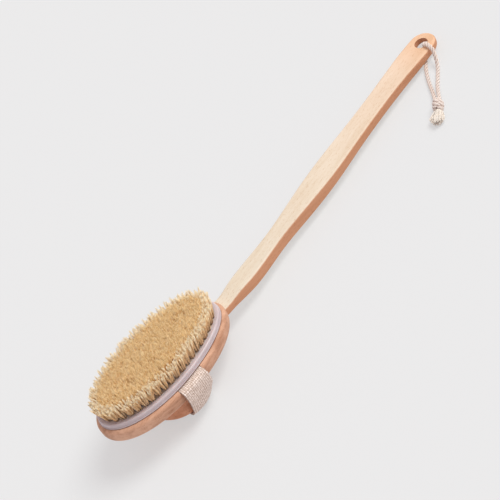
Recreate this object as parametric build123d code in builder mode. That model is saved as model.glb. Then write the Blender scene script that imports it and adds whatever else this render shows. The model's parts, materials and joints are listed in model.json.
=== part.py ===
"""Body dry brush: an egg-shaped wooden head with boar-type bristles, a palm strap and a long pull-out handle.

It lies on its back as it would on a shelf, bristles up: the strap's edge and the cord under the handle's end
carry it. +Z is up, +X runs from the head to the end of the handle, and the brush is symmetric about y = 0
apart from its hanging cord. All sizes are in millimetres.
"""

from build123d import *
from math import acos, atan2, cos, degrees, hypot, pi, radians, sin, tan
import os

os.makedirs("parts", exist_ok=True)

# ---- driving dimensions -------------------------------------------------------------------------------

# the head's egg-shaped outline, at the foot of the edge band
head_half_length = 67.5
head_half_width = 33.5
widest_back = 5.2  # the widest place lies this far behind the middle, away from the handle

# wooden board
board_thick = 16.0
board_overhang = 3.8  # the wood swells this far beyond the band
board_rim_round = 3.5
board_back_round = 8.5

# palm block under the board
block_half_length = 28.0
block_half_width = 31.0
block_depth = 19.0
block_x = -3.0
block_round = 5.0

# edge band and bristle plate
band_height = 5.1
band_wall = 4.0
band_lip = 0.6  # the foot lip stands out this far
band_lip_height = 1.2
band_top_round = 1.3
plate_thick = 4.6
seat_gap = 0.1  # clearance between pieces that sit in each other

# tufts
tuft_pitch = 7.0
ring_pitch = 6.7
tuft_rings = 3
row_pitch = 6.2
tuft_tip_gap = 0.15  # least gap between the tips of neighbouring tufts
tuft_top = 21.6  # tips above the board
tuft_root_radius = 1.5
tuft_tip_radius = 2.8
tuft_hole_depth = 3.6
anchor_thick = 0.4
anchor_tall = 1.2

# strap
strap_width = 27.0
strap_x = 2.0
strap_thick = 1.6
strap_gap = 0.3  # between the cloth and the wood
strap_bow = 3.6  # the cloth bows out this far beside the board
strap_tail = 11.0  # length held under the plate
strap_turn = 3.0  # bend over the board's rim
tacks_per_side = 3

# fasteners
screw_shank_radius = 1.75
screw_head_radius = 3.6
screw_head_depth = 2.2
screw_length = 28.0
screw_spread_x = 32.0
screw_spread_y = 32.0
tack_head_radius = 2.2
tack_head_thick = 0.5
tack_shank_radius = 0.7
tack_length = 8.0
brad_count = 4
brad_head_radius = 1.2
brad_head_thick = 0.5
brad_shank_radius = 0.6
brad_length = 11.0
fastener_gap = 0.05

# handle
tongue_width = 16.0
tongue_thick = 8.2
tongue_length = 45.0  # inside the head
tongue_cover = 3.8  # wood above the tongue
tongue_gap = 0.1
handle_reach = 370.0  # from the head's middle to the handle's end
handle_slope = 7.04  # rise of the long grip towards the bristles, in degrees
handle_thick = 9.4  # at the end
neck_thick = 11.6  # at its thickest, past the neck
grip_half_width = 12.4  # at its widest
# the neck's face above the board's top, at distances past the board
neck_face = [(17.0, -1.9), (32.0, -0.7), (50.0, 0.9)]
# the handle's half widths, at shares of the way from the board to its end
side_stations = [
    (0.1, 9.6),
    (0.241, 8.5),
    (0.355, 10.4),
    (0.479, grip_half_width),
    (0.596, 11.5),
    (0.7265, 10.6),
    (0.837, 11.4),
]
thickest_at = 0.347  # the handle is at its thickest this share of the way along
slim_from = 0.638  # and it has come down to the thickness of its end here
grip_crown = 0.4  # the face swells this far at the thickest
neck_run = 67.0  # the underside leaves the tongue's line this far past the board
tongue_shoulder = 3.0  # the tongue's even section ends this far past the board
handle_edge_round = 1.8
end_radius = 12.6
# the end bends down from the grip's line: at these distances before it, by these drops
end_bend = [(70.0, 0.0), (35.0, 0.9), (0.0, 3.9)]
hole_radius = 6.0
hole_setback = 13.0  # hole's middle to the handle's end
hole_drop = 2.6  # how far the end has bent down at the hole
hole_round = 2.2

# hanging cord
cord_diameter = 3.6
knot_radius = 5.2
knot_length = 13.5
tassel_length = 12.5
tassel_half_width = 8.0

# ---- places that follow from them ---------------------------------------------------------------------

hole_x = handle_reach - hole_setback


def grip_face(x):
    """Height of the long grip's bristle-side face above the board's top, at x along the head."""
    return 1.1 + tan(radians(handle_slope)) * (x - 125)


# The brush rests on the strap's edge nearest the handle and on the cord under the hanging hole.
strap_under = -board_thick - block_depth - strap_gap - strap_thick
strap_edge_x = strap_x + strap_width / 2
cord_seat = cord_diameter + 0.35
rest_run = hole_x - strap_edge_x
rest_rise = grip_face(hole_x) - handle_thick - strap_under
rest_tilt = acos(cord_seat / hypot(rest_rise, rest_run)) - atan2(rest_run, rest_rise)

board_reach = head_half_length + board_overhang
row_reach_front = handle_reach * cos(rest_tilt) + grip_face(handle_reach) * sin(rest_tilt)
row_reach_back = board_reach * cos(rest_tilt) + board_rim_round * sin(rest_tilt)
head_x = (row_reach_back - row_reach_front) / 2
head_z = strap_edge_x * sin(rest_tilt) - strap_under * cos(rest_tilt)

head = Plane(
    origin=(head_x, 0, head_z),
    x_dir=(cos(rest_tilt), 0, -sin(rest_tilt)),
    z_dir=(sin(rest_tilt), 0, cos(rest_tilt)),
)
head_side = Plane(origin=head.origin, x_dir=head.x_dir, z_dir=(0, -1, 0))
head_up = Axis(head.origin, head.z_dir)


def head_cross(x):
    """Plane across the head at x, its own x to the far side and its y towards the bristles."""
    return Plane(origin=head.from_local_coords((x, 0, 0)), x_dir=(0, 1, 0), z_dir=head.x_dir)


def egg_line(grow=0.0):
    """Closed egg outline in the open line builder, grown outwards by an allowance."""
    middle = (-widest_back, 0)
    across = head_half_width + grow
    EllipticalCenterArc(middle, head_half_length - widest_back + grow, across, 90, arc_size=180)
    EllipticalCenterArc(middle, head_half_length + widest_back + grow, across, -90, arc_size=180)


def egg(grow=0.0, mode=Mode.ADD):
    """Egg-shaped face in the open sketch."""
    with BuildLine(Plane.XY) as outline:
        egg_line(grow)
    make_face(outline.edges(), mode=mode)


def spaced_on_egg(grow, count, first=0.0):
    """Points at equal steps along an egg line, as (x, y), from this share of a step past its handle end."""
    with BuildLine(Plane.XY) as ring:
        egg_line(grow)
    wire = ring.wire()
    handle_end = wire.param_at_point(Vector(head_half_length + grow, 0)) * wire.length
    step = wire.length / count
    places = [(handle_end + (i + first) * step) % wire.length for i in range(count)]
    return [(p.X, p.Y) for p in (wire.position_at(place, PositionMode.LENGTH) for place in places)]


def finish(part, name):
    """Label a finished piece and write it."""
    part.label = name
    export_step(part, f"parts/{name}.step")


# ---- where the tufts and fasteners stand --------------------------------------------------------------

outer_ring_grow = -(band_wall + tuft_root_radius + 0.9)
tuft_groups = {}
for k in range(tuft_rings):
    grow = outer_ring_grow - k * ring_pitch
    rough = pi * (head_half_length + head_half_width + 2 * grow)
    tuft_groups[f"tufts_ring_{k + 1}"] = spaced_on_egg(grow, round(1.075 * rough / tuft_pitch))

# three straight rows fill the oval that the rings leave, the outer two set half a step aside
ring_tufts = [place for places in tuft_groups.values() for place in places]
inmost_grow = outer_ring_grow - (tuft_rings - 1) * ring_pitch
tip_room = 2 * tuft_tip_radius + tuft_tip_gap
row_reach = int(head_half_length / tuft_pitch)


def inside_egg(x, y, grow):
    """Whether a point lies inside an egg line."""
    reach = head_half_length + grow + (widest_back if x > -widest_back else -widest_back)
    return ((x + widest_back) / reach) ** 2 + (y / (head_half_width + grow)) ** 2 < 1


row_tufts = []
for y, aside in ((-row_pitch, 0.5), (0.0, 0.0), (row_pitch, 0.5)):
    row = [((i + aside) * tuft_pitch - widest_back, y) for i in range(-row_reach, row_reach)]
    row_tufts += [
        (x, y)
        for x, y in row
        if inside_egg(x, y, inmost_grow) and min(hypot(x - u, y - v) for u, v in ring_tufts) > tip_room
    ]
tuft_groups["tufts_rows"] = row_tufts
all_tufts = [place for places in tuft_groups.values() for place in places]

brad_places = spaced_on_egg(outer_ring_grow - ring_pitch / 2, brad_count, first=0.5)
screw_places = [(i * screw_spread_x / 2, j * screw_spread_y / 2) for i in (-1, 1) for j in (-1, 1)]
tack_y = head_half_width - strap_tail / 2
tack_step = strap_width / tacks_per_side
tack_rows = [strap_x + (i - (tacks_per_side - 1) / 2) * tack_step for i in range(tacks_per_side)]
tack_places = [(x, side * tack_y) for side in (-1, 1) for x in tack_rows]

cloth_half = strap_thick / 2
tail_y = head_half_width - strap_tail
strap_top_in_recess = -tack_head_thick - seat_gap
recess_depth = strap_thick - strap_top_in_recess + fastener_gap
tongue_mid = -tongue_cover - tongue_thick / 2
socket_end_x = board_reach - tongue_length
tuft_foot = plate_thick - tuft_hole_depth

# ---- the wooden head ----------------------------------------------------------------------------------

with BuildPart() as back_board:
    with BuildSketch(head):
        egg(board_overhang)
    extrude(amount=-board_thick)
    fillet(back_board.edges().group_by(head_up)[-1], board_rim_round)
    fillet(back_board.edges().group_by(head_up)[0], board_back_round)
    # the socket that the handle's tongue slides in
    with BuildSketch(head_cross(socket_end_x)):
        with Locations((0, tongue_mid)):
            Rectangle(tongue_width + 2 * tongue_gap, tongue_thick + 2 * tongue_gap)
    extrude(amount=tongue_length + board_overhang, mode=Mode.SUBTRACT)
    # a shallow recess on each side for the strap's tail
    with BuildSketch(head):
        for side in (-1, 1):
            with Locations((strap_x, side * (tail_y - cloth_half - strap_gap))):
                tail_room = 2 * board_overhang + strap_tail
                align_y = Align.MIN if side > 0 else Align.MAX
                Rectangle(strap_width + 2 * strap_gap, tail_room, align=(Align.CENTER, align_y))
    extrude(amount=-recess_depth, mode=Mode.SUBTRACT)
    # screw and tack holes
    with BuildSketch(head):
        with Locations(*screw_places):
            Circle(screw_shank_radius + fastener_gap)
    extrude(amount=-board_thick, mode=Mode.SUBTRACT)
    for x, y in screw_places:
        with BuildSketch(head):
            with Locations((x, y)):
                Circle(screw_head_radius + fastener_gap)
        with BuildSketch(head.offset(-screw_head_depth - fastener_gap)):
            with Locations((x, y)):
                Circle(screw_shank_radius + fastener_gap)
        loft(mode=Mode.SUBTRACT)
    with BuildSketch(head.offset(-recess_depth)):
        with Locations(*tack_places):
            Circle(tack_shank_radius + fastener_gap)
    extrude(amount=-tack_length, mode=Mode.SUBTRACT)
    with BuildSketch(head):
        with Locations(*brad_places):
            Circle(brad_shank_radius + fastener_gap)
    extrude(amount=plate_thick - brad_length - fastener_gap, mode=Mode.SUBTRACT)
finish(back_board.part, "back_board")

with BuildPart() as palm_block:
    with BuildSketch(head.offset(-board_thick)):
        with Locations((block_x, 0)):
            Ellipse(block_half_length, block_half_width)
    extrude(amount=-block_depth)
    fillet(palm_block.edges().group_by(head_up)[0], block_round)
    with BuildSketch(head.offset(-board_thick)):
        with Locations(*screw_places):
            Circle(screw_shank_radius + fastener_gap)
    extrude(amount=board_thick - screw_length - fastener_gap, mode=Mode.SUBTRACT)
finish(palm_block.part, "palm_block")

with BuildPart() as block_screws:
    with BuildSketch(head):
        with Locations(*screw_places):
            Circle(screw_shank_radius)
    extrude(amount=-screw_length)
    for x, y in screw_places:
        with BuildSketch(head.offset(-fastener_gap)):
            with Locations((x, y)):
                Circle(screw_head_radius)
        with BuildSketch(head.offset(-screw_head_depth)):
            with Locations((x, y)):
                Circle(screw_shank_radius)
        loft()
finish(block_screws.part, "block_screws")

# ---- the edge band and the plate that holds the bristles ----------------------------------------------

with BuildPart() as edge_band:
    with BuildSketch(head):
        egg()
    extrude(amount=band_height)
    fillet(edge_band.edges().group_by(head_up)[-1], band_top_round)
    with BuildSketch(head):
        egg(band_lip)
    extrude(amount=band_lip_height)
    with BuildSketch(head):
        egg(-band_wall)
    extrude(amount=band_height, mode=Mode.SUBTRACT)
finish(edge_band.part, "edge_band")

with BuildPart() as bristle_plate:
    with BuildSketch(head):
        egg(-band_wall - seat_gap)
    extrude(amount=plate_thick)
    with BuildSketch(head.offset(tuft_foot)):
        with Locations(*all_tufts):
            Circle(tuft_root_radius + seat_gap)
    extrude(amount=tuft_hole_depth, mode=Mode.SUBTRACT)
    with BuildSketch(head):
        with Locations(*brad_places):
            Circle(brad_shank_radius + fastener_gap)
    extrude(amount=plate_thick, mode=Mode.SUBTRACT)
    with BuildSketch(head.offset(plate_thick - brad_head_thick)):
        with Locations(*brad_places):
            Circle(brad_head_radius + fastener_gap)
    extrude(amount=brad_head_thick, mode=Mode.SUBTRACT)
finish(bristle_plate.part, "bristle_plate")

with BuildPart() as plate_brads:
    brad_head = (brad_head_radius, brad_head_thick - fastener_gap)
    for radius, depth in (brad_head, (brad_shank_radius, brad_length)):
        with BuildSketch(head.offset(plate_thick)):
            with Locations(*brad_places):
                Circle(radius)
        extrude(amount=-depth)
finish(plate_brads.part, "plate_brads")

# ---- bristles: each tuft is folded over a flat wire anchor at the foot of its hole ----------------------

with BuildPart() as tuft_anchors:
    with BuildSketch(head.offset(tuft_foot)):
        with Locations(*all_tufts):
            Rectangle(2 * tuft_root_radius - 0.2, anchor_thick)
    extrude(amount=anchor_tall)
finish(tuft_anchors.part, "tuft_anchors")

tuft_base = tuft_foot + anchor_tall
on_foot = (Align.CENTER, Align.CENTER, Align.MIN)


def standing_on(height, places):
    """Locations square to the head at the places, this high above the board's top."""
    return [head.offset(height).location * Location((x, y, 0)) for x, y in places]


for name, places in tuft_groups.items():
    with BuildPart() as tufts:
        with Locations(*standing_on(tuft_base, places)):
            Cylinder(tuft_root_radius, plate_thick - tuft_base, align=on_foot)
        with Locations(*standing_on(plate_thick, places)):
            Cone(tuft_root_radius, tuft_tip_radius, tuft_top - plate_thick, align=on_foot)
    finish(tufts.part, name)

# ---- palm strap ---------------------------------------------------------------------------------------

tail_z = strap_top_in_recess - cloth_half
bow_y = head_half_width + board_overhang + strap_bow
under_z = strap_under + cloth_half
near_half = [
    (tail_y, tail_z),
    (head_half_width + board_overhang + strap_turn, tail_z),
    (bow_y, tail_z - 12.0),
    (block_half_width + 6.3, -board_thick - 0.66 * block_depth),
    (block_half_width - 1.6, under_z),
]
strap_route = near_half + [(-y, z) for y, z in reversed(near_half)]
bow_radii = [strap_turn, 26.0, 14.0, 9.0]

with BuildPart() as palm_strap:
    with BuildSketch(head_cross(strap_edge_x - strap_width)):
        with BuildLine():
            middle = FilletPolyline(*strap_route, radius=bow_radii + bow_radii[::-1])
            offset(middle, amount=cloth_half, side=Side.BOTH, kind=Kind.ARC)
        make_face()
    extrude(amount=strap_width)
    with BuildSketch(head.offset(-recess_depth)):
        with Locations(*tack_places):
            Circle(tack_shank_radius + fastener_gap)
    extrude(amount=recess_depth, mode=Mode.SUBTRACT)
finish(palm_strap.part, "palm_strap")

with BuildPart() as strap_tacks:
    with BuildSketch(head.offset(strap_top_in_recess)):
        with Locations(*tack_places):
            Circle(tack_head_radius)
    extrude(amount=tack_head_thick)
    with BuildSketch(head.offset(strap_top_in_recess)):
        with Locations(*tack_places):
            Circle(tack_shank_radius)
    extrude(amount=fastener_gap - strap_thick - tack_length)
finish(strap_tacks.part, "strap_tacks")

# ---- handle -------------------------------------------------------------------------------------------

mouth_x = board_reach
tongue_top = -tongue_cover
tongue_under = tongue_top - tongue_thick
handle_run = handle_reach - mouth_x
thick_x = mouth_x + thickest_at * handle_run
slim_x = mouth_x + slim_from * handle_run

hole_plane = Plane(
    origin=head.from_local_coords((hole_x, 0, grip_face(hole_x) - hole_drop)),
    x_dir=head.x_dir * cos(radians(handle_slope)) + head.z_dir * sin(radians(handle_slope)),
    z_dir=head.z_dir * cos(radians(handle_slope)) - head.x_dir * sin(radians(handle_slope)),
)

with BuildPart() as handle:
    with BuildSketch(head_side):
        with BuildLine():
            top_foot = Line((socket_end_x + 0.5, tongue_top), (mouth_x + tongue_shoulder, tongue_top))
            top_curve = Spline(
                top_foot @ 1,
                *[(mouth_x + run, height) for run, height in neck_face],
                (thick_x, grip_face(thick_x) + grip_crown),
                (thick_x + 60, grip_face(thick_x + 60)),
                tangents=((1, 0), (1, tan(radians(handle_slope)))),
            )
            bend = [(handle_reach - run, grip_face(handle_reach - run) - drop) for run, drop in end_bend]
            bend.insert(-1, (hole_x, grip_face(hole_x) - hole_drop))
            Line(top_curve @ 1, bend[0])
            top_end = Spline(*bend, tangents=((1, tan(radians(handle_slope))), (1, 0)))
            end_face = Line(top_end @ 1, (handle_reach + 1.1, grip_face(handle_reach) - handle_thick))
            under_end = Line(end_face @ 1, (slim_x, grip_face(slim_x) - handle_thick))
            under_curve = Spline(
                under_end @ 1,
                (thick_x + 35, grip_face(thick_x + 35) - neck_thick + 0.7),
                (thick_x, grip_face(thick_x) - neck_thick),
                (mouth_x + neck_run, grip_face(mouth_x + neck_run) - neck_thick + 0.3),
                (mouth_x + neck_run / 2, tongue_under),
                (mouth_x + tongue_shoulder, tongue_under),
                tangents=((-1, -tan(radians(handle_slope))), (-1, 0)),
            )
            under_foot = Line(under_curve @ 1, (socket_end_x + 0.5, tongue_under))
            Line(under_foot @ 1, top_foot @ 0)
        make_face()
    extrude(amount=grip_half_width * 2, both=True)
    with BuildSketch(head.offset(2 * tongue_under)):
        with BuildLine():
            half_tongue = tongue_width / 2
            foot = Line((socket_end_x + 0.5, 0), (socket_end_x + 0.5, half_tongue))
            cheek = Line(foot @ 1, (mouth_x + tongue_shoulder, half_tongue))
            side_line = Spline(
                cheek @ 1,
                *[(mouth_x + share * handle_run, half_width) for share, half_width in side_stations],
                (handle_reach - end_radius, end_radius),
                tangents=((1, 0), (1, 0)),
            )
            round_end = RadiusArc(side_line @ 1, (handle_reach, 0), end_radius)
            Line(round_end @ 1, foot @ 0)
        make_face()
        mirror(about=Plane.XZ)
    extrude(amount=4 * board_thick + handle_reach / 4, mode=Mode.INTERSECT)
    end_and_foot = handle.faces().sort_by(Axis(head.origin, head.x_dir))[0].edges()
    long_edges = ShapeList(e for e in handle.edges() if e not in end_and_foot and e.length > 4)
    upright = long_edges.filter_by(lambda e: abs((e.tangent_at(0.5)).dot(head.z_dir)) > 0.8)
    fillet(ShapeList(e for e in long_edges if e not in upright), handle_edge_round)
    # the hanging hole, its two mouths rounded for the cord
    with BuildSketch(hole_plane):
        Circle(hole_radius)
    extrude(amount=-2 * handle_thick, both=True, mode=Mode.SUBTRACT)
    fillet(handle.edges().filter_by(lambda e: e.is_closed), hole_round)
finish(handle.part, "handle")

# ---- hanging cord: one length of twisted cotton through the hole, its two strands tied in one knot --------

hole_middle = hole_plane.from_local_coords((0, 0, (hole_drop - handle_thick) / 2))
lie_z = cord_diameter / 2 + 0.05  # a strand's middle where it lies on the floor
over_z = hole_plane.origin.Z + cord_diameter / 2 + 0.4  # and where it crosses the handle's face
beside_rim = -(hole_radius - cord_diameter / 2 - 0.3)
strand_half_gap = cord_diameter / 2 + 0.15

knot_start = Vector(hole_middle.X - 43.0, -48.2, knot_radius + 0.05)
strand_end_drop = 0.6  # the strands enter this far below the knot's middle
knot_axis = Vector(-0.733, -0.68, 0).normalized()
knot_side = Vector(-knot_axis.Y, knot_axis.X, 0)
tassel_axis = Vector(-0.91, -0.41, 0).normalized()


def strand_route(first_turn_z, way_points, side):
    """Points of one strand: up or down the hole, along its way points, into the knot beside its twin."""
    start = [(0, beside_rim, hole_middle.Z), (0, beside_rim, first_turn_z)]
    route = [Vector(hole_middle.X + x, y, z) for x, y, z in start + way_points]
    end = knot_start + knot_side * side * strand_half_gap + knot_axis * 1.5
    return route + [end - Vector(0, 0, strand_end_drop)]


front_route = strand_route(
    over_z,
    [
        (-2.0, -15.6, over_z - 0.1),
        (-7.0, -20.8, 7.4),
        (-12.0, -24.0, lie_z),
        (-22.5, -31.6, lie_z),
        (-33.0, -39.4, 2.6),
    ],
    side=1,
)
back_route = strand_route(
    lie_z,
    [
        (-7.5, -6.4, lie_z),
        (-17.0, -13.6, lie_z),
        (-26.5, -23.4, lie_z),
        (-33.5, -32.4, lie_z),
        (-39.5, -40.5, 2.6),
    ],
    side=-1,
)


def bend_radii(route):
    """The largest arc that each corner of a route has room for."""
    radii = []
    for before, at, after in zip(route, route[1:], route[2:]):
        arriving, leaving = at - before, after - at
        turn = radians(arriving.get_angle(leaving))
        radii.append(0.45 * min(arriving.length, leaving.length) / tan(turn / 2))
    return radii


for name, route in (("cord_front_strand", front_route), ("cord_back_strand", back_route)):
    radii = bend_radii(route)
    with BuildPart() as strand:
        with BuildLine() as strand_line:
            FilletPolyline(*route, radius=radii)
        strand_wire = strand_line.wire()
        with BuildSketch(Plane(origin=strand_wire @ 0, z_dir=strand_wire % 0)):
            Circle(cord_diameter / 2)
        sweep(path=strand_wire)
    finish(strand.part, name)
    share = strand.part.volume / (strand_wire.length * pi * cord_diameter**2 / 4)
    print(name, "length", round(strand_wire.length, 1), "volume share", round(share, 3))
    print("  radii", [round(r, 1) for r in radii])

# three turns of the same cord round its own two strands
wrap_radius = knot_length / 6 + 0.15
with BuildPart() as cord_knot:
    with BuildSketch(Plane(origin=knot_start, x_dir=knot_axis, z_dir=knot_side)):
        Rectangle(knot_length, knot_radius - wrap_radius, align=Align.MIN)
        with Locations(*[(knot_length * (i + 0.5) / 3, knot_radius - wrap_radius) for i in range(3)]):
            Circle(wrap_radius)
        split(bisect_by=Plane.XZ, keep=Keep.BOTTOM)
    revolve(axis=Axis(knot_start, knot_axis))
finish(cord_knot.part, "cord_knot")

# the two cut ends, unlaid into one flat brush of cotton
tassel_start = knot_start + knot_axis * (knot_length - 1.5)
tassel_root_half = 3.4
tassel_half_thick = 3.9
with BuildPart() as cord_tassel:
    with BuildSketch(Plane(origin=tassel_start, x_dir=(-tassel_axis.Y, tassel_axis.X, 0), z_dir=tassel_axis)):
        Ellipse(tassel_root_half, tassel_root_half)
    tassel_end = tassel_start + tassel_axis * tassel_length
    end_origin = (tassel_end.X, tassel_end.Y, tassel_half_thick + 0.1)
    with BuildSketch(Plane(origin=end_origin, x_dir=(-tassel_axis.Y, tassel_axis.X, 0), z_dir=tassel_axis)):
        Ellipse(tassel_half_width, tassel_half_thick)
    loft()
finish(cord_tassel.part, "cord_tassel")

print("tilt", round(degrees(rest_tilt), 2), "head at", round(head_x, 2), round(head_z, 2))
print("tufts", len(all_tufts), "hole middle", hole_middle)
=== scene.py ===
# %% [markdown]
# # A body dry brush
# The wooden board, palm block and handle, the edge band, the plate and the small fasteners come from the
# workshop model and keep their shapes. This lesson gives them their finishes, and makes what a solid can't
# show: bristles, woven webbing and a twisted cotton cord. First the model is loaded. Its objects come in
# selected, so everything is deselected before the first operator.

# %% Load the workshop model
import json
import math
import random

import bpy
from mathutils import Matrix, Vector
from mathutils.kdtree import KDTree


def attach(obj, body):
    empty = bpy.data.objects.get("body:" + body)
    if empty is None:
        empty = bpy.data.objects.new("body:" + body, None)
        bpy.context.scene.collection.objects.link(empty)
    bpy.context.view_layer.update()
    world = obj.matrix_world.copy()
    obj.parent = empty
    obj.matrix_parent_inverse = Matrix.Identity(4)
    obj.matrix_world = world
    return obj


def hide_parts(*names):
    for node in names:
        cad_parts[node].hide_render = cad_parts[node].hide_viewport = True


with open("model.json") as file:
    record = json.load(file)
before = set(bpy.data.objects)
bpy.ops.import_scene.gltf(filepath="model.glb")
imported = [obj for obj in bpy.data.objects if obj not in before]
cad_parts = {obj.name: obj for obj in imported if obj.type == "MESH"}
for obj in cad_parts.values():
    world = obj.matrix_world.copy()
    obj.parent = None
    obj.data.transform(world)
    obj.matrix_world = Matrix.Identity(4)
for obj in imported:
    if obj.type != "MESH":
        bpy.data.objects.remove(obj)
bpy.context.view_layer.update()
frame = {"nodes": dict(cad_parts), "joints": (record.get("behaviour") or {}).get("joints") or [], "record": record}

bpy.ops.object.select_all(action="DESELECT")

# %% [markdown]
# The brush lies on its back, so its head leans a few degrees towards the handle. The handle's slide runs
# along the head, and the strap's mount is a known point of it, a little ahead of the head's middle and well
# below it. These two give the head's own directions, and a helper then turns a place on the head, in
# millimetres, into a place in the scene, in metres.

# %% The head's own directions
mount_ahead, mount_below = 0.002, 0.0369

slide = Vector(frame["joints"][0]["axis"]).normalized()
lean = math.atan2(-slide.z, slide.x)
head_out = Vector((math.sin(lean), 0, math.cos(lean)))
strap_mount = next(m for m in frame["record"]["mounts"] if m["name"] == "strap_underside")
head_origin = Vector(strap_mount["pos_m"]) - slide * mount_ahead + head_out * mount_below
head_turn = Matrix((slide, (0, 1, 0), head_out)).transposed().to_4x4()
head_place = Matrix.Translation(head_origin) @ head_turn


def on_head(x, y, z):
    """A point in millimetres from the head's middle, in the scene."""
    return head_place @ (Vector((x, y, z)) / 1000)


print("the head leans", round(math.degrees(lean), 2), "degrees")

# %% [markdown]
# The camera stands where a catalogue photographer would: above and in front, turned so that the handle runs
# up to a corner of the picture. A long lens keeps the two ends of the brush nearly the same scale.

# %% Camera
right = Vector((0.57141, -0.65725, -0.49144))
up = Vector((0.79677, 0.30087, 0.52405))
back = right.cross(up)
bpy.ops.object.camera_add(location=(-0.29830, -0.94439, 0.98353))
camera = bpy.context.object
camera.name = "camera"
camera.rotation_euler = Matrix((right, up, back)).transposed().to_euler()
camera.data.sensor_width = 36
camera.data.lens = 120.24
camera.data.clip_end = 50
bpy.context.scene.camera = camera
print("camera lens", camera.data.lens)

# %% [markdown]
# The studio is a pale floor, a pale sky and one lamp from the handle's side. The lamp is a sun, which lights
# the whole floor evenly, and its wide angle keeps the shadow soft. The sky's light is faintly pink and the
# lamp's a little cool. The sky's light and its look are set apart with Light Path, so the background takes
# none of that tint. To the camera the floor glows a little, as a lit backdrop does, and that keeps its
# shadows faint.

# %% Floor, sky and lamp
pale = (0.831, 0.831, 0.831, 1)
floor_glow = 0.6
scene = bpy.context.scene
scene.view_settings.view_transform = "Standard"

bpy.ops.mesh.primitive_plane_add(size=60, location=(0, 0, 0))
floor = bpy.context.object
floor.name = "floor"


def new_material(name):
    """A material with its nodes on, its tree and its Principled shader."""
    material = bpy.data.materials.new(name)
    material.use_nodes = True
    return material, material.node_tree, material.node_tree.nodes["Principled BSDF"]


def link(tree, a, b):
    """Join an output socket to an input socket."""
    tree.links.new(a, b)


def maths(tree, operation, first, second=None):
    """What a Math node gives for one or two values, each a socket or a number."""
    made = tree.nodes.new("ShaderNodeMath")
    made.operation = operation
    for socket, value in zip(made.inputs, (first, second)):
        if isinstance(value, bpy.types.NodeSocket):
            link(tree, value, socket)
        elif value is not None:
            socket.default_value = value
    return made.outputs[0]


def seen_share(tree, share):
    """A share for the rays that look at a thing, straight or by a reflection, and nothing for its light."""
    path = tree.nodes.new("ShaderNodeLightPath")
    seen = path.outputs["Is Camera Ray"]
    for kind in ("Is Glossy Ray", "Is Transmission Ray"):
        seen = maths(tree, "MAXIMUM", seen, path.outputs[kind])
    return maths(tree, "MULTIPLY", seen, share)


def show_instead(tree, share, lighting, showing, output):
    """Light the scene by one shader, and show a share of the other to the rays that look at it."""
    mixed = tree.nodes.new("ShaderNodeMixShader")
    link(tree, seen_share(tree, share), mixed.inputs["Fac"])
    link(tree, lighting.outputs[0], mixed.inputs[1])
    link(tree, showing.outputs[0], mixed.inputs[2])
    link(tree, mixed.outputs[0], tree.nodes[output].inputs["Surface"])


floor_finish, tree, shader = new_material("floor_paper")
shader.inputs["Base Color"].default_value = pale
shader.inputs["Roughness"].default_value = 1.0
shader.inputs["Specular IOR Level"].default_value = 0.0
glow = tree.nodes.new("ShaderNodeEmission")
glow.inputs["Color"].default_value = pale
show_instead(tree, floor_glow, shader, glow, "Material Output")
floor.data.materials.append(floor_finish)

world = bpy.data.worlds.new("studio")
scene.world = world
world.use_nodes = True
sky = world.node_tree
light_sky = sky.nodes["Background"]
light_sky.inputs["Color"].default_value = (1.0, 0.915, 0.945, 1)
light_sky.inputs["Strength"].default_value = 0.53
seen_sky = sky.nodes.new("ShaderNodeBackground")
seen_sky.inputs["Color"].default_value = pale
show_instead(sky, 1.0, light_sky, seen_sky, "World Output")

bpy.ops.object.light_add(type="SUN", location=(0.4, -0.1, 1.2))
lamp = bpy.context.object
lamp.name = "lamp"
lamp.data.energy = 2.05
lamp.data.color = (0.955, 1.0, 0.985)
lamp.data.angle = math.radians(28)
lamp.rotation_euler = Vector((0.58, -0.25, 0.78)).to_track_quat("Z", "Y").to_euler()
print("sky strength", light_sky.inputs["Strength"].default_value, "lamp", lamp.data.energy)

# %% [markdown]
# Beech is a pale pinkish wood. Its growth lines run along the plank, and short brown flecks lie between
# them. Both are noise on Object coordinates, stretched along the grain. A Mapping node turns them to the
# head's lean. On the handle a mix on the surface's direction paints light and shade: the broad faces are
# painted pale, as lit faces look, and the sides darker and warmer, as shaded sides look. A ramp along its
# length warms the faces towards the hanging hole.

# %% Wood finishes


def ramp(tree, factor, *stops):
    """A colour ramp from (place, colour) stops, driven by a factor socket."""
    made = tree.nodes.new("ShaderNodeValToRGB")
    elements = made.color_ramp.elements
    while len(elements) < len(stops):
        elements.new(0.5)
    for element, (place, colour) in zip(elements, stops):
        element.position = place
        element.color = (*colour, 1)
    link(tree, factor, made.inputs["Fac"])
    return made.outputs["Color"]


def stretched_noise(tree, vector, scale, size, detail=3.0, distortion=0.0):
    """Noise at a size, on a vector that is first scaled by an amount along each axis."""
    mapping = tree.nodes.new("ShaderNodeMapping")
    mapping.inputs["Scale"].default_value = scale
    link(tree, vector, mapping.inputs["Vector"])
    noise = tree.nodes.new("ShaderNodeTexNoise")
    noise.inputs["Scale"].default_value = size
    noise.inputs["Detail"].default_value = detail
    noise.inputs["Distortion"].default_value = distortion
    link(tree, mapping.outputs["Vector"], noise.inputs["Vector"])
    return noise.outputs["Fac"]


def mix_colours(tree, factor, first, second, how="MIX"):
    """Mix two colours, each a socket or a plain colour, by a factor socket or number."""
    made = tree.nodes.new("ShaderNodeMix")
    made.data_type = "RGBA"
    made.blend_type = how
    # Sockets 0, 6 and 7 are the factor and the two colours, and output 2 is the mixed colour.
    for socket, value in ((made.inputs[0], factor), (made.inputs[6], first), (made.inputs[7], second)):
        if isinstance(value, bpy.types.NodeSocket):
            link(tree, value, socket)
        elif isinstance(value, tuple):
            socket.default_value = (*value, 1)
        else:
            socket.default_value = value
    return made.outputs[2]


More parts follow.
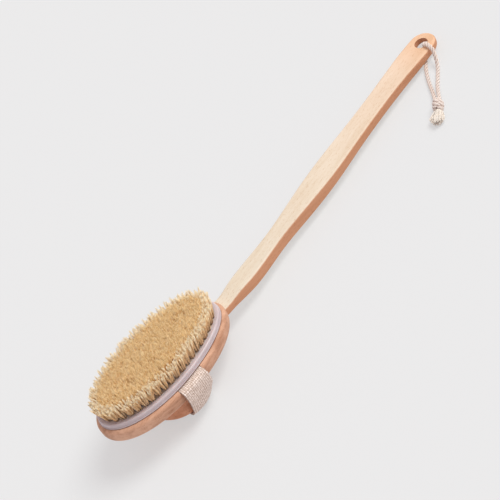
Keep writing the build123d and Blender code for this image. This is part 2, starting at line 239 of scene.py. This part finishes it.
def axes_of(tree, vector):
    """A vector socket's own X, Y and Z sockets, by name."""
    made = tree.nodes.new("ShaderNodeSeparateXYZ")
    link(tree, vector, made.inputs["Vector"])
    return made.outputs


def share_between(tree, value, low, high):
    """How far a value socket is from low to high: 0 at low and under it, 1 at high and over it."""
    made = tree.nodes.new("ShaderNodeMapRange")
    made.inputs["From Min"].default_value = low
    made.inputs["From Max"].default_value = high
    link(tree, value, made.inputs["Value"])
    return made.outputs["Result"]


def bump_from(tree, shader, height, strength, distance):
    """Give a shader a bump from a height socket."""
    made = tree.nodes.new("ShaderNodeBump")
    made.inputs["Strength"].default_value = strength
    made.inputs["Distance"].default_value = distance
    link(tree, height, made.inputs["Height"])
    link(tree, made.outputs["Normal"], shader.inputs["Normal"])


def grain_vector(tree):
    """The coordinates node, and its Object coordinates turned so that X runs along the head's planks."""
    coordinates = tree.nodes.new("ShaderNodeTexCoord")
    turned = tree.nodes.new("ShaderNodeMapping")
    turned.inputs["Rotation"].default_value = (0, -lean, 0)
    link(tree, coordinates.outputs["Object"], turned.inputs["Vector"])
    return coordinates, turned.outputs["Vector"]


def beech(name, light, dark, fleck):
    """Beech with growth lines and flecks. Returns the material, and what painted light and shade over it need."""
    material, tree, shader = new_material(name)
    coordinates, vector = grain_vector(tree)
    lines = stretched_noise(tree, vector, (7, 230, 230), 1.0, detail=4, distortion=0.6)
    broad = stretched_noise(tree, vector, (5, 34, 34), 1.0, detail=2, distortion=0.4)
    flecks = stretched_noise(tree, vector, (230, 1900, 1900), 1.0, detail=1)
    tone = mix_colours(tree, 0.5, lines, broad)
    colour = ramp(tree, tone, (0.40, light), (0.63, dark))
    dashes = ramp(tree, flecks, (0.60, (0, 0, 0)), (0.72, (1, 1, 1)))
    shade = mix_colours(tree, dashes, (1, 1, 1), fleck)
    final = mix_colours(tree, 1.0, colour, shade, "MULTIPLY")
    link(tree, final, shader.inputs["Base Color"])
    shader.inputs["Roughness"].default_value = 0.55
    shader.inputs["Specular IOR Level"].default_value = 0.35
    bump_from(tree, shader, dashes, strength=0.12, distance=0.0002)
    return material, tree, shader, coordinates, final


def wear(names, material):
    """Put one material on these workshop pieces."""
    for name in names:
        mesh = frame["nodes"][name].data
        mesh.materials.clear()
        mesh.materials.append(material)


board_wood, *_ = beech("beech_board", (0.76, 0.44, 0.29), (0.49, 0.235, 0.135), (0.70, 0.58, 0.48))
wear(["back_board"], board_wood)
block_wood, *_ = beech("beech_block", (0.76, 0.365, 0.215), (0.55, 0.22, 0.11), (0.72, 0.60, 0.50))
wear(["palm_block"], block_wood)

plank_start, plank_end = -0.06, 0.21
# The sides' tint is painted shade: it makes the handle's sides darker and warmer than its faces.
painted_side_shade = (0.68, 0.35, 0.21)
handle_wood, tree, shader, coordinates, grain_colour = beech(
    "beech_handle", (0.99, 0.93, 0.85), (0.90, 0.80, 0.68), (0.84, 0.75, 0.66)
)
plank = ramp(
    tree,
    share_between(tree, axes_of(tree, coordinates.outputs["Object"])["X"], plank_start, plank_end),
    (0.0, (0.86, 0.80, 0.70)),
    (0.5, (0.93, 0.84, 0.73)),
    (0.85, (0.95, 0.79, 0.66)),
    (1.0, (0.92, 0.62, 0.43)),
)
lit_face_colour = mix_colours(tree, 1.0, grain_colour, plank, "MULTIPLY")
# Painted light and shade: the broad faces are painted paler, as lit, and the sides darker, as shaded.
upright = maths(tree, "ABSOLUTE", axes_of(tree, coordinates.outputs["Normal"])["Z"])
painted_shade_share = ramp(tree, upright, (0.35, (1, 1, 1)), (0.8, (0, 0, 0)))
shaded_side_colour = mix_colours(tree, 1.0, grain_colour, painted_side_shade, "MULTIPLY")
painted_light_and_shade = mix_colours(tree, painted_shade_share, lit_face_colour, shaded_side_colour)
link(tree, painted_light_and_shade, shader.inputs["Base Color"])
wear(["handle"], handle_wood)
print("wood on", ["back_board", "palm_block", "handle"])

# %% [markdown]
# The edge band and the plate are milky moulded plastic, with a faint cloudiness that keeps the colour from
# being flat. Light goes a little way into the band, which subsurface scattering gives, and a dark brown line
# of painted shade at its foot stands for the shadow in the seam with the wood. The screws, tacks, brads and
# anchor wires are plain zinc-plated steel with fine scratches.

# %% Plastic and steel
seam_shade_top, seam_shade_fades = 0.0006, 0.0009
painted_seam_shade = (0.22, 0.11, 0.08)

band_plastic, tree, shader = new_material("milky_plastic")
_, vector = grain_vector(tree)
clouds = stretched_noise(tree, vector, (1, 1, 1), 60.0)
milky = ramp(tree, clouds, (0.3, (0.58, 0.49, 0.50)), (0.7, (0.65, 0.555, 0.565)))
foot = head_out.dot(head_origin)
# Painted shade: a dark brown line at the band's foot stands for the shadow in its seam with the wood.
above_seam_shade = share_between(tree, axes_of(tree, vector)["Z"], foot + seam_shade_top, foot + seam_shade_fades)
link(tree, mix_colours(tree, above_seam_shade, painted_seam_shade, milky), shader.inputs["Base Color"])
shader.inputs["Subsurface Weight"].default_value = 0.35
shader.inputs["Subsurface Radius"].default_value = (0.004, 0.003, 0.003)
shader.inputs["Subsurface Scale"].default_value = 1.0
shader.inputs["Roughness"].default_value = 0.32
wear(["edge_band"], band_plastic)

plate_plastic, tree, shader = new_material("plate_plastic")
_, vector = grain_vector(tree)
clouds = stretched_noise(tree, vector, (1, 1, 1), 90.0)
plate_colour = ramp(tree, clouds, (0.3, (0.80, 0.70, 0.62)), (0.7, (0.88, 0.78, 0.70)))
link(tree, plate_colour, shader.inputs["Base Color"])
shader.inputs["Roughness"].default_value = 0.5
wear(["bristle_plate"], plate_plastic)

steel_pieces = ["block_screws", "plate_brads", "strap_tacks", "tuft_anchors"]
steel, tree, shader = new_material("zinc_steel")
_, vector = grain_vector(tree)
scratches = stretched_noise(tree, vector, (200, 2500, 2500), 1.0)
steel_colour = ramp(tree, scratches, (0.3, (0.55, 0.55, 0.55)), (0.7, (0.70, 0.70, 0.69)))
link(tree, steel_colour, shader.inputs["Base Color"])
shader.inputs["Metallic"].default_value = 1.0
shader.inputs["Roughness"].default_value = 0.35
wear(steel_pieces, steel)
print("plastic on the band and the plate, steel on", len(steel_pieces), "pieces")

# %% [markdown]
# A bristle is a stiff hair, thicker at its root, with a slight bow. One is extruded from a triangle in two
# steps. Its height is stored as an attribute, so that the finish can go from tan at the root to cream at the
# tip wherever the bristle ends up. Heights on the head and the tuft's two radii are in millimetres.

# %% One bristle
plate_top, tuft_top, hole_depth = 4.6, 21.6, 1.2
root_radius, tip_radius = 1.7, 4.6
bristle_radius = 0.00014
bristle_length = (tuft_top - plate_top + hole_depth) / 1000

bpy.ops.mesh.primitive_circle_add(vertices=3, radius=bristle_radius, fill_type="NGON", location=(0, 0, 0))
bristle = bpy.context.object
bristle.name = "bristle"
bpy.ops.object.mode_set(mode="EDIT")
bpy.ops.mesh.select_all(action="SELECT")
for rise, bow, narrow in ((0.5, 0.0006, 0.96), (0.5, -0.0003, 0.8)):
    bpy.ops.mesh.extrude_region_move(TRANSFORM_OT_translate={"value": (bow, 0, rise * bristle_length)})
    bpy.ops.transform.resize(value=(narrow, narrow, 1))
bpy.ops.object.mode_set(mode="OBJECT")
bpy.ops.object.shade_smooth()
along = bristle.data.attributes.new("along", "FLOAT", "POINT")
for vertex, value in zip(bristle.data.vertices, along.data):
    value.value = vertex.co.z / bristle_length
print("one bristle:", len(bristle.data.polygons), "faces,", round(bristle_length * 1000, 1), "mm")

# %% [markdown]
# Boar bristle is golden tan with creamy tips, and no two hairs are quite alike. The colour follows the
# height attribute, and a second attribute, one number a hair, makes some hairs lighter and some darker.

# %% Bristle finish


def attribute_of(tree, name):
    """The value of a mesh's own attribute, as a socket."""
    made = tree.nodes.new("ShaderNodeAttribute")
    made.attribute_name = name
    return made.outputs["Fac"]


bristle_finish, tree, shader = new_material("boar_bristle")
body_colour = ramp(
    tree,
    attribute_of(tree, "along"),
    (0.0, (0.82, 0.58, 0.36)),
    (0.35, (0.96, 0.64, 0.32)),
    (0.70, (0.97, 0.67, 0.34)),
    (1.0, (0.99, 0.83, 0.54)),
)
lightness = ramp(
    tree,
    attribute_of(tree, "shade"),
    (0.0, (0.82, 0.66, 0.46)),
    (0.5, (1.03, 0.97, 0.88)),
    (1.0, (1.06, 1.19, 1.56)),
)
link(tree, mix_colours(tree, 1.0, body_colour, lightness, "MULTIPLY"), shader.inputs["Base Color"])
shader.inputs["Roughness"].default_value = 0.6
shader.inputs["Specular IOR Level"].default_value = 0.15
bristle.data.materials.append(bristle_finish)
print("bristle finish ready")

# %% [markdown]
# A tuft is a pinch of bristles in one drilled hole. They stand close at the root and splay to the tip in a
# few locks. In the outer ring the tips of a lock cling together, and further in they mix. Six tufts are made,
# each from copies of the one bristle, joined. A fixed seed makes the same tufts every time. The ranges that
# chance draws from are named first: the roots stray by millimetres, and the lengths are shares of a whole.

# %% Six tufts
locks_in_tuft, bristles_in_lock = 15, 15
golden_angle, turn_stray = 2.39996, 0.3
root_stray, bow_stray = 0.25, 0.8
lock_splay, hair_lengths, tallest = (0.85, 1.1), (0.93, 1.04), 1.03
straight_up = Vector((0, 0, 1))


def joined(objects, name):
    """Join objects into one, by name."""
    bpy.ops.object.select_all(action="DESELECT")
    for piece in objects:
        piece.select_set(True)
    bpy.context.view_layer.objects.active = objects[0]
    bpy.ops.object.join()
    objects[0].name = name
    objects[0].data.name = name
    return objects[0]


def own_copy(piece, place):
    """A copy with its own mesh, moved by a matrix that goes into the mesh."""
    made = piece.copy()
    made.data = piece.data.copy()
    made.data.transform(place)
    scene.collection.objects.link(made)
    return made


def strayed(chance, spread):
    """A small step sideways, by chance."""
    return Vector((chance.gauss(0, spread), chance.gauss(0, spread), 0))


def tilt_to(direction):
    """The turn that takes straight up to a direction."""
    return straight_up.rotation_difference(direction).to_matrix().to_4x4()


def new_tuft(seed, cling, shades, shortest):
    """One tuft at the origin, along Z from the bottom of its hole.

    The tips of a lock stray by cling millimetres. The hairs' shades are drawn between the two in shades, and
    the locks' lengths from shortest, a share of the full length, to a little over it.
    """
    chance = random.Random(seed)
    hairs = []
    for lock in range(locks_in_tuft):
        turn = lock * golden_angle + chance.uniform(-turn_stray, turn_stray)
        out = Vector((math.cos(turn), math.sin(turn), 0)) * math.sqrt((lock + 0.5) / locks_in_tuft) / 1000
        lock_tip = out * tip_radius * chance.uniform(*lock_splay)
        tall = chance.uniform(shortest, tallest)
        for _ in range(bristles_in_lock):
            root = out * root_radius + strayed(chance, root_stray) / 1000
            tip = lock_tip + (strayed(chance, cling) + Vector((0, 0, bristle_length * 1000))) / 1000
            hair = own_copy(
                bristle,
                Matrix.Translation(root)
                @ tilt_to(tip - root)
                @ Matrix.Rotation(turn + chance.gauss(0, bow_stray), 4, "Z")
                @ Matrix.Scale(tall * chance.uniform(*hair_lengths), 4, straight_up),
            )
            shade = hair.data.attributes.new("shade", "FLOAT", "POINT")
            shade.data.foreach_set("value", [chance.uniform(*shades)] * len(hair.data.vertices))
            hairs.append(hair)
    return joined(hairs, f"tuft_{seed}")


edge_tufts = [new_tuft(seed, cling=0.36, shades=(0.5, 1.0), shortest=0.84) for seed in range(3)]
inner_tufts = [new_tuft(seed, cling=1.0, shades=(0.0, 0.7), shortest=0.92) for seed in range(3, 6)]
hairs_in_tuft = locks_in_tuft * bristles_in_lock
print("six tufts of", hairs_in_tuft, "bristles,", len(edge_tufts[0].data.polygons), "faces each")

# %% [markdown]
# Every tuft has a place in the workshop model, as a plain flared solid. The solids are copied, merged and
# separated into loose parts, and the middle of each one's foot gives a tuft its place. A tuft is turned by
# chance, and the outer rings lean out a little, as on a trimmed brush. The tufts of one ring, or of the
# middle rows, are then joined, and stand for that node's solids.

# %% Tufts in their places
outward_lean = {"tufts_ring_1": 0.13, "tufts_ring_2": 0.05}
lean_stray = 0.03
oval_share = 1.8
first_seed = 100


def tuft_feet(node):
    """Where each tuft of a workshop piece stands, in millimetres on the head's plane."""
    bpy.ops.object.select_all(action="DESELECT")
    solid = frame["nodes"][node]
    copy = bpy.data.objects.new("feet", solid.data.copy())
    scene.collection.objects.link(copy)
    copy.select_set(True)
    bpy.context.view_layer.objects.active = copy
    bpy.ops.object.mode_set(mode="EDIT")
    bpy.ops.mesh.select_all(action="SELECT")
    bpy.ops.mesh.remove_doubles(threshold=0.00001)
    bpy.ops.mesh.separate(type="LOOSE")
    bpy.ops.object.mode_set(mode="OBJECT")
    back_to_head = head_place.inverted()
    feet = []
    for part in list(bpy.context.selected_objects):
        places = [back_to_head @ vertex.co for vertex in part.data.vertices]
        xs, ys = [p.x for p in places], [p.y for p in places]
        feet.append(tuple((min(side) + max(side)) / 2 * 1000 for side in (xs, ys)))
        bpy.data.objects.remove(part)
    return sorted(feet)


tuft_nodes = [name for name in sorted(frame["nodes"]) if name.startswith("tufts_")]
for number, node in enumerate(tuft_nodes):
    chance = random.Random(first_seed + number)
    outward = outward_lean.get(node, 0.0)
    kinds = edge_tufts if node == "tufts_ring_1" else inner_tufts
    planted = []
    for x, y in tuft_feet(node):
        away = Vector((x / oval_share, y, 0)).normalized()
        tilt = tilt_to(straight_up + away * outward + strayed(chance, lean_stray))
        foot = Matrix.Translation(Vector((x, y, plate_top - hole_depth)) / 1000)
        place = head_place @ foot @ tilt @ Matrix.Rotation(chance.uniform(0, math.tau), 4, "Z")
        planted.append(own_copy(chance.choice(kinds), place))
    row = joined(planted, node.replace("tufts", "bristles"))
    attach(row, "head")
    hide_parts(node)
    print(row.name, len(planted), "tufts,", len(row.data.polygons), "faces")
for spare in [bristle, *edge_tufts, *inner_tufts]:
    bpy.data.objects.remove(spare)

# %% [markdown]
# The palm strap is plain-woven cotton webbing. A grid is laid along the strap's path, straight runs with
# rounded corners, and its crossings rise and fall as threads do when they pass over and under each other.
# The two edges waver a little, as a selvedge does. Solidify then gives the cloth its thickness. The strap's
# sizes are in millimetres, on the head.

# %% The strap's path
strap_x, strap_width, cloth = 2.0, 27.0, 1.6
tail_end_y, tail_turn_y, tail_z = 22.5, 40.3, -1.4
bow_y, bow_drop, bow_pull = 40.9, 12, 0.08
side_y, side_z, side_pull = 37.3, -28.54, 1.15
under_y, under_z, under_pull = 29.4, -36.1, 0.9
corner_radii = [3.0, 18.0, 14.0, 9.0, 9.0, 14.0, 18.0, 3.0]
arc_steps = 24
block_x, block_half_length, block_half_width = -3.0, 28.0, 31.0


def strap_corners(x):
    """The strap's corners at x, drawn in where the oval block is narrower, as (y, z) from side to side."""
    pull = block_half_width * (1 - math.sqrt(1 - ((x - block_x) / block_half_length) ** 2))
    half = [
        (tail_end_y, tail_z),
        (tail_turn_y, tail_z),
        (bow_y - bow_pull * pull, tail_z - bow_drop),
        (side_y - side_pull * pull, side_z),
        (under_y - under_pull * pull, under_z),
    ]
    return half + [(-y, z) for y, z in reversed(half)]


def rounded_path(corners, radii, count):
    """Points at equal steps along straight runs joined by arcs, each with its direction, and the length."""
    corners = [Vector(c) for c in corners]
    fine = [corners[0]]
    for before, at, after, radius in zip(corners, corners[1:], corners[2:], radii):
        first, last = (before - at).normalized(), (after - at).normalized()
        half = first.angle(last) / 2
        reach = radius / math.tan(half)
        centre = at + (first + last).normalized() * radius / math.sin(half)
        start, end = at + first * reach - centre, at + last * reach - centre
        turn = start.angle(end)
        for i in range(arc_steps + 1):
            t = i / arc_steps
            spoke = (start * math.sin((1 - t) * turn) + end * math.sin(t * turn)) / math.sin(turn)
            fine.append(centre + spoke)
    fine.append(corners[-1])
    lengths = [0.0]
    for a, b in zip(fine, fine[1:]):
        lengths.append(lengths[-1] + (b - a).length)
    points, k = [], 0
    for i in range(count + 1):
        want = lengths[-1] * i / count
        while k < len(fine) - 2 and lengths[k + 1] < want:
            k += 1
        share = (want - lengths[k]) / max(lengths[k + 1] - lengths[k], 1e-9)
        points.append((fine[k].lerp(fine[k + 1], share), (fine[k + 1] - fine[k]).normalized()))
    return points, lengths[-1]


thread, strap_steps = 1.7, 196
_, strap_length = rounded_path(strap_corners(strap_x), corner_radii, strap_steps)
print("strap length", round(strap_length, 1), "mm, thread", round(2 * strap_length / strap_steps, 2), "mm")

# %% Weave the strap
weave_rise = 0.2
edge_waver, waver_start = 0.12, 0.6
across_steps = 2 * round(strap_width / thread)
columns = []
for v in range(across_steps + 1):
    across = strap_x + (v / across_steps - 0.5) * strap_width
    columns.append((across, rounded_path(strap_corners(across), corner_radii, strap_steps)[0]))
bpy.ops.object.select_all(action="DESELECT")
bpy.ops.mesh.primitive_grid_add(x_subdivisions=strap_steps, y_subdivisions=across_steps, size=2)
strap = bpy.context.object
strap.name = "webbing_strap"
for vertex in strap.data.vertices:
    u = round((vertex.co.x + 1) / 2 * strap_steps)
    v = round((vertex.co.y + 1) / 2 * across_steps)
    across, line = columns[v]
    point, direction = line[u]
    outwards = Vector((direction.y, -direction.x))
    rise = weave_rise * math.sin(math.pi * u / 2) * math.sin(math.pi * v / 2)
    edge = edge_waver * math.sin(math.pi * u / 2 + waver_start) if v in (0, across_steps) else 0.0
    place = point + outwards * rise
    vertex.co = on_head(across + (edge if v else -edge), place.x, place.y)
bpy.ops.object.shade_smooth()
solidify = strap.modifiers.new("cloth", "SOLIDIFY")
solidify.thickness = cloth / 1000
solidify.offset = 0
bpy.ops.object.modifier_apply(modifier="cloth")
print("strap", len(strap.data.polygons), "faces")

# %% [markdown]
# Unbleached cotton is a warm off-white. Its threads are told apart by a weave pattern on the strap's own UV
# map, which the grid brought with it: thin dark gaps of painted shade between threads, slubs that are a
# little darker, and a fine fuzz.

# %% Cotton finish


def cotton(name, light, dark):
    """Cotton yarn: a fuzzy colour and a soft sheen. Returns the material, and what a pattern needs."""
    material, tree, shader = new_material(name)
    coordinates = tree.nodes.new("ShaderNodeTexCoord")
    fuzz = stretched_noise(tree, coordinates.outputs["Object"], (1, 1, 1), 900.0, detail=4)
    patches = stretched_noise(tree, coordinates.outputs["Object"], (1, 1, 1), 70.0, detail=2)
    colour = ramp(tree, mix_colours(tree, 0.5, fuzz, patches), (0.38, dark), (0.62, light))
    link(tree, colour, shader.inputs["Base Color"])
    shader.inputs["Roughness"].default_value = 0.95
    shader.inputs["Specular IOR Level"].default_value = 0.15
    shader.inputs["Sheen Weight"].default_value = 0.25
    shader.inputs["Sheen Roughness"].default_value = 0.5
    bump_from(tree, shader, fuzz, strength=0.4, distance=0.0003)
    return material, tree, shader, coordinates, colour


webbing, tree, shader, coordinates, colour = cotton("cotton_webbing", (0.90, 0.78, 0.71), (0.79, 0.66, 0.59))
strap_place = axes_of(tree, coordinates.outputs["UV"])
waves = []
for axis, count in (("X", strap_steps), ("Y", across_steps)):
    waves.append(maths(tree, "SINE", maths(tree, "MULTIPLY", strap_place[axis], math.pi * count / 2)))
crossing = maths(tree, "ABSOLUTE", maths(tree, "MULTIPLY", *waves))
# Painted shade: the weave is darker in the gaps between threads, where shade falls.
painted_gap_shade = ramp(tree, crossing, (0.0, (0.58, 0.50, 0.45)), (0.5, (1.06, 1.06, 1.06)))
slubs = stretched_noise(tree, coordinates.outputs["UV"], (85, 17, 1), 1.0, detail=2)
speckle = ramp(tree, slubs, (0.40, (0.80, 0.74, 0.69)), (0.58, (1.08, 1.08, 1.08)))
gap_shade_and_slubs = mix_colours(tree, 1.0, painted_gap_shade, speckle, "MULTIPLY")
link(tree, mix_colours(tree, 1.0, colour, gap_shade_and_slubs, "MULTIPLY"), shader.inputs["Base Color"])
strap.data.materials.append(webbing)
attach(strap, "head")
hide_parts("palm_strap")
print("strap finished")

# %% [markdown]
# The hanging cord is one length of three-strand cotton rope. It goes through the hole in the handle, and its
# two ends meet in one knot. Each half has a line of its own, from the hole to the knot, a smooth NURBS curve
# through open air and over the floor. The line's points are read back, and three thin strands wind round
# them. The front half is a little looser where it leaves the hole.

# %% The cord's two lines
cord_diameter = 0.0036
front_points = [
    (0.20710, -0.00390, 0.00727),
    (0.20710, -0.00390, 0.01287),
    (0.20510, -0.01560, 0.01277),
    (0.20010, -0.02080, 0.00740),
    (0.19510, -0.02400, 0.00185),
    (0.18460, -0.03160, 0.00185),
    (0.17410, -0.03940, 0.00260),
    (0.16433, -0.05065, 0.00465),
]
back_points = [
    (0.20710, -0.00390, 0.00727),
    (0.20710, -0.00390, 0.00185),
    (0.19960, -0.00640, 0.00185),
    (0.19010, -0.01360, 0.00185),
    (0.18060, -0.02340, 0.00185),
    (0.17360, -0.03240, 0.00185),
    (0.16760, -0.04050, 0.00260),
    (0.16167, -0.04779, 0.00465),
]


def smooth_line(name, points):
    """Points read along a NURBS curve that has these as its control points."""
    curve = bpy.data.curves.new(name, "CURVE")
    curve.dimensions = "3D"
    curve.resolution_u = 24
    spline = curve.splines.new("NURBS")
    spline.points.add(len(points) - 1)
    for place, point in zip(points, spline.points):
        point.co = (*place, 1)
    spline.order_u = 3
    spline.use_endpoint_u = True
    holder = bpy.data.objects.new(name, curve)
    scene.collection.objects.link(holder)
    mesh = bpy.data.meshes.new_from_object(holder)
    line = [vertex.co.copy() for vertex in mesh.vertices]
    bpy.data.objects.remove(holder)
    return line


def length_of(line):
    """The length of a line of points."""
    return sum((b - a).length for a, b in zip(line, line[1:]))


front_line = smooth_line("front_line", front_points)
back_line = smooth_line("back_line", back_points)
print("cord halves", round(length_of(front_line), 4), round(length_of(back_line), 4), "m")

# %% Wind three strands round a line
strand_count, strand_share = 3, 0.236
cord_lay = 0.0105
loose_share, loose_run = 0.45, 0.018


def round_curve(name, radius, roundness):
    """A curve with a round bevel and closed ends."""
    curve = bpy.data.curves.new(name, "CURVE")
    curve.dimensions = "3D"
    curve.bevel_depth = radius
    curve.bevel_resolution = roundness
    curve.use_fill_caps = True
    return curve


def as_mesh(name, curve):
    """A curve as a smooth mesh object."""
    holder = bpy.data.objects.new(name, curve)
    scene.collection.objects.link(holder)
    bpy.ops.object.select_all(action="DESELECT")
    holder.select_set(True)
    bpy.context.view_layer.objects.active = holder
    bpy.ops.object.convert(target="MESH")
    bpy.ops.object.shade_smooth()
    return bpy.context.object


def frames_along(line):
    """A direction and a sideways vector at each point, carried along without twisting."""
    made, side = [], None
    for i in range(len(line)):
        ahead = (line[min(i + 1, len(line) - 1)] - line[max(i - 1, 0)]).normalized()
        side = ahead.orthogonal() if side is None else side - ahead * side.dot(ahead)
        side.normalize()
        made.append((ahead, side.copy()))
    return made


def twisted(name, line, diameter, lay, phase=0.0, swell=0.0):
    """A rope of strands wound round a line, as a mesh.

    The lay is one turn's length, and swell is how much looser the rope starts. Each vertex keeps how far it
    is from the line, as depth: 1 on the rope's outside, and less down in its grooves.
    """
    strand_radius = diameter * strand_share
    helix_radius = diameter / 2 - strand_radius
    made = []
    for k in range(strand_count):
        curve = round_curve(name, strand_radius, 3)
        spline = curve.splines.new("POLY")
        spline.points.add(len(line) - 1)
        gone = 0.0
        for i, (ahead, side) in enumerate(frames_along(line)):
            if i:
                gone += (line[i] - line[i - 1]).length
            turn = math.tau * (gone / lay + k / strand_count) + phase
            out = side * math.cos(turn) + ahead.cross(side) * math.sin(turn)
            loose = 1 + swell * max(0.0, 1 - gone / loose_run)
            spline.points[i].co = (*(line[i] + out * helix_radius * loose), 1)
            spline.points[i].radius = loose
        made.append(as_mesh(name, curve))
    rope = joined(made, name)
    middle = KDTree(len(line))
    for i, point in enumerate(line):
        middle.insert(point, i)
    middle.balance()
    depth = rope.data.attributes.new("depth", "FLOAT", "POINT")
    for vertex, value in zip(rope.data.vertices, depth.data):
        value.value = min(1.0, middle.find(vertex.co)[2] / (diameter / 2))
    return rope


rope_cotton, tree, shader, _, colour = cotton("cotton_cord", (0.92, 0.82, 0.75), (0.80, 0.66, 0.58))
# Painted shade: the strands are darker down in the grooves between them, where shade falls.
painted_groove_shade = ramp(tree, attribute_of(tree, "depth"), (0.5, (0.58, 0.47, 0.41)), (0.85, (1, 1, 1)))
link(tree, mix_colours(tree, 1.0, colour, painted_groove_shade, "MULTIPLY"), shader.inputs["Base Color"])
front_cord = twisted("cord_front", front_line, cord_diameter, cord_lay, swell=loose_share)
back_cord = twisted("cord_back", back_line, cord_diameter, cord_lay, phase=1.0)
for piece, node in ((front_cord, "cord_front_strand"), (back_cord, "cord_back_strand")):
    piece.data.materials.append(rope_cotton)
    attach(piece, "handle")
    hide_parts(node)
    print(piece.name, len(piece.data.polygons), "faces")

# %% [markdown]
# The knot is the same cord, a little swollen, wound three times round its own two halves. Its line is a coil
# that starts and ends inside, so no cut end shows.

# %% Knot
knot_start = Vector((0.1641, -0.0482, 0.00525))
knot_axis = Vector((-0.733, -0.68, 0)).normalized()
knot_side = Vector((-knot_axis.y, knot_axis.x, 0))
knot_length, knot_turns, knot_steps = 0.0135, 3.2, 144
knot_diameter, knot_lay = 0.0040, 0.0085
tucked_radius, wrap_rise, tuck_rate = 0.0014, 0.0018, 6
wraps_start, wraps_run = 0.14, 0.72

coil = []
for i in range(knot_steps + 1):
    t = i / knot_steps
    turn = math.tau * knot_turns * t
    wrap_radius = tucked_radius + wrap_rise * min(1.0, tuck_rate * t, tuck_rate * (1 - t))
    middle = knot_start + knot_axis * (knot_length * (wraps_start + wraps_run * t))
    sideways = knot_side * math.cos(turn) * wrap_radius
    coil.append(middle + sideways + straight_up * math.sin(turn) * wrap_radius)
knot = twisted("cord_knot_wraps", coil, knot_diameter, knot_lay)
knot.data.materials.append(rope_cotton)
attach(knot, "handle")
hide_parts("cord_knot")
print(knot.name, len(knot.data.polygons), "faces")

# %% [markdown]
# Below the knot the two cut ends have come unlaid into a soft brush of cotton. Each fibre is one thin curl:
# it starts inside the knot, spreads, and settles over the floor. Those at the sides are shorter, so the
# brush ends in a round. The fibres are curves with a bevel, turned to one mesh.

# %% Frayed end
tassel_axis = Vector((-0.91, -0.41, 0)).normalized()
tassel_side = Vector((-tassel_axis.y, tassel_axis.x, 0))
tassel_from, tassel_length, tassel_rest_z = 0.0115, 0.0142, 0.0040
tassel_start = knot_start + knot_axis * tassel_from
fibre_count, fibre_steps, fibre_radius = 330, 6, 0.00021
fibre_lengths, shorter_at_sides = (0.72, 1.02), 0.30
neck_shift = 0.0006
neck_half_width, width_gain, tip_narrows = 0.0022, 0.0055, 0.25
neck_half_height, height_gain = 0.0021, 0.0012
side_curl, side_rate = 0.0007, 5.0
rise_curl, rise_rate = 0.0005, 4.0
floor_gap = 0.0003

chance = random.Random(7)
fibres = round_curve("cord_fray", fibre_radius, 0)
for _ in range(fibre_count):
    turn, share = chance.uniform(0, math.tau), math.sqrt(chance.random())
    full = chance.uniform(*fibre_lengths) * tassel_length
    reach = full * (1.0 - shorter_at_sides * (share * math.cos(turn)) ** 2)
    wave, slant = chance.uniform(-1, 1), chance.uniform(-1, 1)
    spline = fibres.splines.new("POLY")
    spline.points.add(fibre_steps)
    for k, point in enumerate(spline.points):
        t = k / fibre_steps
        wide = neck_half_width + width_gain * t**0.6 * (1 - tip_narrows * t**3)
        tall = neck_half_height + height_gain * t
        middle = tassel_start + tassel_axis * reach * t + knot_axis * neck_shift * (1 - t)
        sideways = math.cos(turn) * share * wide + side_curl * wave * math.sin(side_rate * t) * t
        height = math.sin(turn) * share * tall + rise_curl * slant * math.sin(rise_rate * t + wave) * t
        place = middle + tassel_side * sideways
        place.z = max(floor_gap, place.z * (1 - t) + tassel_rest_z * t + height)
        point.co = (*place, 1)
fray = as_mesh("cord_fray", fibres)
fray_cotton, *_ = cotton("cotton_fibre", (0.99, 0.92, 0.84), (0.95, 0.85, 0.74))
fray.data.materials.append(fray_cotton)
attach(fray, "handle")
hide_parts("cord_tassel")
print(fray.name, len(fray.data.polygons), "faces")
